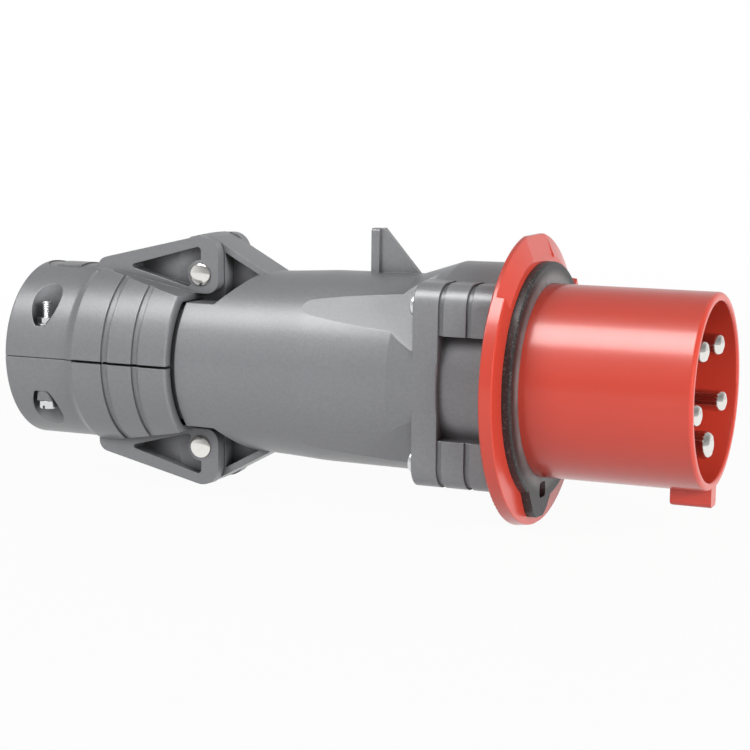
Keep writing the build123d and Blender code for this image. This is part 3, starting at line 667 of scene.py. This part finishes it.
class PLUG_OT_contacts(bpy.types.Operator):
    """Turned contacts with rounded noses, and the finish of their terminal screws"""

    bl_idname = "plug.contacts"
    bl_label = "Contacts"

    def execute(self, context):
        sizes = context.scene.plug_contacts
        finish = context.scene.plug_finish
        nickel = nickel_plate("nickel_plate", finish.nickel, finish.nickel_gloss)
        lay = Matrix.Rotation(math.pi / 2, 4, "Y")
        pieces = [name for name in NODES if name.startswith("contact_")]
        pieces.remove("contact_carrier")
        for node in pieces:
            low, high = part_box(node)
            centre = middle(node)
            radius = sizes.earth_radius if node == "contact_earth" else sizes.line_radius
            body_r = (high[1] - low[1]) / 2
            whole = bmesh.new()
            spot = Matrix.Translation((0.0, centre.y, centre.z)) @ lay
            put(self.pin(radius, body_r, low[0], high[0], sizes), spot, whole)
            piece = add_piece(
                context, node + "_turned", whole, nickel, "handle", "contact_metal", node)
            carve(context, piece, self.screw_blank(centre, sizes))
        terminal = plated_steel("terminal_zinc", finish.zinc, finish.terminal_gloss)
        repaint(terminal, "terminal_screws")
        return {"FINISHED"}

    def pin(self, radius, body_r, rear, tip, sizes):
        """Contact on its own axis: rounded nose, root, and a terminal with a bore for the wire."""
        round_r = radius * sizes.nose_round
        flat_r = radius - round_r
        root_r = radius + 0.5 * MM
        edge = 0.6 * MM
        crown_steps = 6
        corners = []
        for step in range(crown_steps):
            share = step / crown_steps
            corners.append((flat_r * share, tip - sizes.nose_rise * share ** 2))
        corners += dome(flat_r, round_r, tip - sizes.nose_rise, sizes.nose_length, 10)
        corners += [
            (radius, sizes.shoulder),
            (root_r, sizes.shoulder),
            (root_r, sizes.root),
            (body_r, sizes.root),
            (body_r, rear + edge),
            (body_r - edge * 0.3, rear + edge * 0.3),
            (body_r - edge, rear),
            (sizes.wire_radius, rear),
            (sizes.wire_radius, rear + sizes.wire_depth),
            (0.0, rear + sizes.wire_depth),
        ]
        return new_shape(corners, 72)

    def screw_blank(self, centre, sizes):
        """Rod that leaves the hole of the terminal screw, on the side away from the plug's axis."""
        shape = bmesh.new()
        reach = 9.0 * MM
        bmesh.ops.create_cone(
            shape, cap_ends=True, segments=48, radius1=sizes.hole_radius, radius2=sizes.hole_radius,
            depth=reach)
        outward = Vector((0.0, centre.y, centre.z)).normalized()
        turn = outward.to_track_quat("Z", "Y").to_matrix().to_4x4()
        spot = Vector((sizes.hole_place, centre.y, centre.z)) + outward * reach / 2
        bmesh.ops.transform(shape, matrix=Matrix.Translation(spot) @ turn, verts=shape.verts)
        return bpy.data.objects.new("screw_blank", settle(shape, "screw_blank"))


class PLUG_OT_clamp_screws(bpy.types.Operator):
    """Threaded clamp screws with slotted heads, their washers and chamfered nuts"""

    bl_idname = "plug.clamp_screws"
    bl_label = "Clamp screws"

    def execute(self, context):
        sizes = context.scene.plug_screws
        finish = context.scene.plug_finish
        zinc = plated_steel("clamp_zinc", finish.zinc, finish.zinc_gloss)
        low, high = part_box("clamp_screws")
        nut_low, nut_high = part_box("clamp_nuts")
        washer_low, washer_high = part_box("clamp_washers")
        place_x = middle("clamp_screws").x
        head_r = (high[0] - low[0]) / 2
        place_y = high[1] - head_r
        screws = bmesh.new()
        nuts = bmesh.new()
        washers = bmesh.new()
        for side in (1, -1):
            spot = Matrix.Translation((place_x, side * place_y, 0.0))
            put(self.screw(head_r, low[2], high[2], sizes), spot, screws)
            put(self.nut(nut_low[2], nut_high[2], sizes), spot, nuts)
            put(self.washer(washer_low[2], washer_high[2], sizes), spot, washers)
        slot = "screw_steel"
        piece = add_piece(
            context, "clamp_screws_threaded", screws, zinc, "lower_jaw", slot, "clamp_screws")
        for side in (1, -1):
            carve(context, piece, self.slot_blank(place_x, side * place_y, low[2], head_r, sizes))
        add_piece(context, "clamp_nuts_hexagon", nuts, zinc, "clamp_nuts", slot, "clamp_nuts")
        add_piece(
            context, "clamp_washers_stamped", washers, zinc, "clamp_nuts", slot, "clamp_washers")
        return {"FINISHED"}

    def screw(self, head_r, low, high, sizes):
        """Cheese head at the bottom, plain neck, thread up to a chamfered tip."""
        shank_r = sizes.shank_radius
        head_top = low + sizes.head_height
        thread_low = head_top + sizes.neck_length
        tip = 0.35 * MM
        top_edge = 0.15 * MM
        low_edge = 0.4 * MM
        corners = [(0.0, high), (shank_r - tip, high)]
        corners += shank(shank_r, thread_low, high - tip, sizes.pitch)
        corners += [
            (shank_r, head_top),
            (head_r - top_edge, head_top),
            (head_r, head_top - top_edge),
            (head_r, low + low_edge),
            (head_r - low_edge, low),
            (0.0, low),
        ]
        shape = new_shape(corners, 48)
        cut_thread(shape, shank_r, thread_low, high - tip, sizes.pitch, sizes.depth)
        return shape

    def slot_blank(self, x, y, low, head_r, sizes):
        """Bar that leaves the slot across a screw head."""
        shape = bmesh.new()
        bmesh.ops.create_cube(shape, size=1.0)
        size = (sizes.slot_width, head_r * 2.6, sizes.slot_depth * 2)
        bmesh.ops.scale(shape, verts=shape.verts, vec=size)
        bmesh.ops.translate(shape, verts=shape.verts, vec=(x, y, low))
        return bpy.data.objects.new("slot_blank", settle(shape, "slot_blank"))

    def nut(self, low, high, sizes):
        """Hexagon nut, its corners taken off by a cone at both ends."""
        inner = sizes.shank_radius + 0.05 * MM
        crown = sizes.nut_flats / 2
        mouth = 0.3 * MM
        rim = 0.25 * MM
        rim_drop = 0.08 * MM
        cone_slope = 0.55
        half = (low + high) / 2
        corners = [
            (inner, low + mouth),
            (inner, high - mouth),
            (inner + mouth, high),
            (crown - rim, high),
            (crown, high - rim_drop),
            (crown, low + rim_drop),
            (crown - rim, low),
            (inner + mouth, low),
            (inner, low + mouth),
        ]
        shape = new_shape(corners, 96)

        def rule(angle, r, z):
            wide = hexagon_radius(angle, sizes.nut_flats)
            drop = (wide - crown) * cone_slope
            return wide, z - drop if z > half else z + drop
        push_out(shape, lambda r, z: r > crown - 0.01 * MM, rule)
        return shape

    def washer(self, low, high, sizes):
        """Stamped washer with a rolled upper edge."""
        inner = sizes.shank_radius + 0.15 * MM
        outer = sizes.washer_radius
        edge = 0.2 * MM
        corners = [
            (inner, low),
            (inner, high - edge / 2),
            (inner + edge / 2, high),
            (outer - edge, high),
            (outer - edge * 0.3, high - edge * 0.3),
            (outer, high - edge),
            (outer, low),
            (inner, low),
        ]
        return new_shape(corners, 64)


class PLUG_OT_housing_screws(bpy.types.Operator):
    """Long housing screws with hexagon sockets behind the towers"""

    bl_idname = "plug.housing_screws"
    bl_label = "Housing screws"

    def execute(self, context):
        sizes = context.scene.plug_screws
        finish = context.scene.plug_finish
        zinc = plated_steel("housing_zinc", finish.zinc, finish.zinc_gloss)
        low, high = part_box("housing_screws")
        y = high[1] - sizes.cap_radius
        z = high[2] - sizes.cap_radius
        shape = bmesh.new()
        lay = Matrix.Rotation(math.pi / 2, 4, "Y")
        for side in (1, -1):
            for level in (1, -1):
                spot = Matrix.Translation((0.0, side * y, level * z)) @ lay
                put(self.screw(low[0], high[0], sizes), spot, shape)
        name = "housing_screws"
        add_piece(context, name + "_socket", shape, zinc, "handle", "screw_steel", name)
        return {"FINISHED"}

    def screw(self, rear, tip, sizes):
        """Cap screw along its own axis, the head at the low end."""
        head_r = sizes.cap_radius
        shank_r = sizes.bolt_radius
        socket = sizes.hex_flats / 2
        bottom = rear + sizes.hex_depth
        neck = rear + sizes.cap_height
        chamfer = 0.4 * MM
        corners = [(0.0, bottom + chamfer), (socket, bottom), (socket, rear)]
        for inset, rise in ((1.2, 0.0), (0.7, 0.1), (0.35, 0.35), (0.1, 0.7), (0.0, 1.2)):
            corners.append((head_r - inset * MM, rear + rise * MM))
        corners += [
            (head_r, neck),
            (shank_r, neck),
            (shank_r, tip - chamfer),
            (shank_r - chamfer, tip),
            (0.0, tip),
        ]
        shape = new_shape(corners, 72)
        push_out(
            shape,
            lambda r, z: abs(r - socket) < 0.01 * MM,
            lambda angle, r, z: (hexagon_radius(angle, sizes.hex_flats), z))
        return shape


class PLUG_OT_hinge_pins(bpy.types.Operator):
    """Bright hinge pins with domed heads"""

    bl_idname = "plug.hinge_pins"
    bl_label = "Hinge pins"

    def execute(self, context):
        sizes = context.scene.plug_screws
        finish = context.scene.plug_finish
        bright = plated_steel("hinge_nickel", finish.nickel, finish.hinge_gloss)
        for node in ("upper_hinge_pin", "lower_hinge_pin"):
            low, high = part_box(node)
            centre = middle(node)
            shape = self.pin((high[0] - low[0]) / 2, high[1], sizes)
            spot = Matrix.Translation(centre) @ Matrix.Rotation(math.pi / 2, 4, "X")
            whole = bmesh.new()
            put(shape, spot, whole)
            add_piece(context, node + "_domed", whole, bright, "handle", "screw_steel", node)
        return {"FINISHED"}

    def pin(self, head_r, half, sizes):
        """Pin on its own axis, with a shallow dome at both ends."""
        inner = half - sizes.pin_head
        side = dome(0.0, head_r, half, sizes.pin_dome, 8)
        side += [(head_r, inner), (sizes.pin_radius, inner)]
        corners = side + [(radius, -height) for radius, height in reversed(side)]
        return new_shape(corners, 64)


class PLUG_OT_stage(bpy.types.Operator):
    """Floor, lamps, camera and surroundings"""

    bl_idname = "plug.stage"
    bl_label = "Stage"

    def execute(self, context):
        stage = context.scene.plug_stage
        low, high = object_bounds()
        self.floor(context, low.z - stage.floor_drop)
        box_place = (stage.box_rise, 0.0)
        box = self.light(context, "soft_box", box_place, stage.box_size, stage.box_power)
        box.visible_diffuse = False
        for name, place, power in (
                ("front_wash", stage.wash_place, stage.wash_power),
                ("rear_wash", stage.rear_place, stage.rear_power),
                ("mouth_fill", stage.fill_place, stage.fill_power)):
            wash = self.light(context, name, place, stage.wash_size, power)
            wash.visible_glossy = False
        self.camera(context, stage)
        self.world(context, stage)
        context.scene.view_settings.view_transform = "Standard"
        return {"FINISHED"}

    def floor(self, context, height):
        """Wide pale floor that is white to the eye and keeps a soft shadow."""
        half_width = 6.0
        shape = bmesh.new()
        bmesh.ops.create_grid(shape, x_segments=1, y_segments=1, size=half_width)
        bmesh.ops.translate(shape, verts=shape.verts, vec=(0, 0, height))
        mesh = settle(shape, "floor")
        floor = bpy.data.objects.new("floor", mesh)
        context.scene.collection.objects.link(floor)
        sheet = Sheet(bpy.data.materials.new("floor_white"))
        matte = sheet.node("ShaderNodeBsdfDiffuse", None, {"Color": (0.68, 0.68, 0.68, 1.0)})
        glow = sheet.node("ShaderNodeEmission", None, {"Color": WHITE, "Strength": 1.0})
        away = sheet.step(sheet.length(sheet.place()), *context.scene.plug_stage.floor_fade)
        seen = sheet.node("ShaderNodeLightPath", out="Is Camera Ray")
        shiny = sheet.node("ShaderNodeLightPath", out="Is Glossy Ray")
        clear = sheet.node("ShaderNodeLightPath", out="Is Transmission Ray")
        near_white = 0.95
        white = seen * (near_white + away * (1.0 - near_white)) + shiny + clear
        sheet.output(sheet.node("ShaderNodeMixShader", None, {0: white, 1: matte, 2: glow}))
        mesh.materials.append(sheet.owner)
        floor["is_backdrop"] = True

    def light(self, context, name, place, size, power):
        """Rectangular lamp at a height and turn round the plug, its long side level."""
        stage = context.scene.plug_stage
        rise, turn = place
        data = bpy.data.lights.new(name, "AREA")
        data.shape = "RECTANGLE"
        data.size, data.size_y = size
        data.energy = power
        lamp = bpy.data.objects.new(name, data)
        lamp.rotation_euler = (math.pi / 2 - rise, 0.0, turn)
        shift = Vector((-stage.lamp_shift * math.cos(turn), 0.0, stage.lamp_reach))
        lamp.location = lamp.rotation_euler.to_matrix() @ shift
        context.scene.collection.objects.link(lamp)
        return lamp

    def camera(self, context, stage):
        """Camera of the reference view."""
        data = bpy.data.cameras.new("camera")
        data.lens = stage.lens
        data.sensor_width = 36.0
        data.clip_start = 0.05
        data.clip_end = 20.0
        eye = bpy.data.objects.new("camera", data)
        a, e = stage.azimuth, stage.elevation
        back = Vector((math.sin(a) * math.cos(e), -math.cos(a) * math.cos(e), math.sin(e)))
        right = Vector((math.cos(a), math.sin(a), 0.0))
        up = back.cross(right)
        turned_right = right * math.cos(stage.roll) + up * math.sin(stage.roll)
        turned_up = up * math.cos(stage.roll) - right * math.sin(stage.roll)
        place = Vector(stage.target) + back * stage.distance
        basis = Matrix((turned_right, turned_up, back)).transposed()
        eye.matrix_world = Matrix.Translation(place) @ basis.to_4x4()
        context.scene.collection.objects.link(eye)
        context.scene.camera = eye

    def world(self, context, stage):
        """White to the eye, with own strengths for gloss and matte light that dim overhead."""
        world = bpy.data.worlds.new("surroundings")
        sheet = Sheet(world)
        way = sheet.node("ShaderNodeTexCoord", out="Generated")
        ahead = sheet.node(
            "ShaderNodeVectorMath", {"operation": "DOT_PRODUCT"},
            {0: way, 1: tuple(stage.front_way)}, "Value")
        up = sheet.node("ShaderNodeSeparateXYZ", None, {0: way}, "Z")
        turned = sheet.step(ahead, *stage.front_fade)
        facing = stage.behind + turned * (stage.front - stage.behind)
        overhead = 1.0 - sheet.step(up, *stage.dome_fade) * (1.0 - stage.overhead)
        seen = sheet.node("ShaderNodeLightPath", out="Is Camera Ray")
        shiny = sheet.node("ShaderNodeLightPath", out="Is Glossy Ray")
        matte = (1.0 - seen) * (1.0 - shiny)
        gloss = stage.shine + turned * (stage.front_shine - stage.shine)
        strength = seen + shiny * overhead * gloss + matte * overhead * facing
        backdrop = sheet.node("ShaderNodeBackground", None, {"Color": WHITE, "Strength": strength})
        sheet.output(backdrop, "ShaderNodeOutputWorld")
        context.scene.world = world


GROUPS = {
    "plug_finish": PlugFinish,
    "plug_contacts": PlugContacts,
    "plug_screws": PlugScrews,
    "plug_stage": PlugStage,
}
OPERATORS = (
    PLUG_OT_mouldings,
    PLUG_OT_front,
    PLUG_OT_contacts,
    PLUG_OT_clamp_screws,
    PLUG_OT_housing_screws,
    PLUG_OT_hinge_pins,
    PLUG_OT_stage,
)


class PLUG_PT_panel(bpy.types.Panel):
    """Sidebar list of the plug's pieces"""

    bl_idname = "PLUG_PT_panel"
    bl_label = "Plug"
    bl_space_type = "VIEW_3D"
    bl_region_type = "UI"
    bl_category = "Plug"

    def draw(self, context):
        column = self.layout.column()
        for name, group in GROUPS.items():
            for field in group.__annotations__:
                column.prop(getattr(context.scene, name), field)
        for operator in OPERATORS:
            column.operator(operator.bl_idname)


def register():
    """Adds the classes and their settings."""
    for group in GROUPS.values():
        bpy.utils.register_class(group)
    for operator in OPERATORS:
        bpy.utils.register_class(operator)
    bpy.utils.register_class(PLUG_PT_panel)
    for name, group in GROUPS.items():
        setattr(bpy.types.Scene, name, bpy.props.PointerProperty(type=group))


def unregister():
    """Takes the classes and their settings away."""
    for name in GROUPS:
        delattr(bpy.types.Scene, name)
    bpy.utils.unregister_class(PLUG_PT_panel)
    for operator in reversed(OPERATORS):
        bpy.utils.unregister_class(operator)
    for group in reversed(GROUPS.values()):
        bpy.utils.unregister_class(group)


def main():
    """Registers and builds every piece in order."""
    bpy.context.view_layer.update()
    register()
    bpy.ops.plug.mouldings()
    bpy.ops.plug.front()
    bpy.ops.plug.contacts()
    bpy.ops.plug.clamp_screws()
    bpy.ops.plug.housing_screws()
    bpy.ops.plug.hinge_pins()
    bpy.ops.plug.stage()


if __name__ == "__main__":
    main()
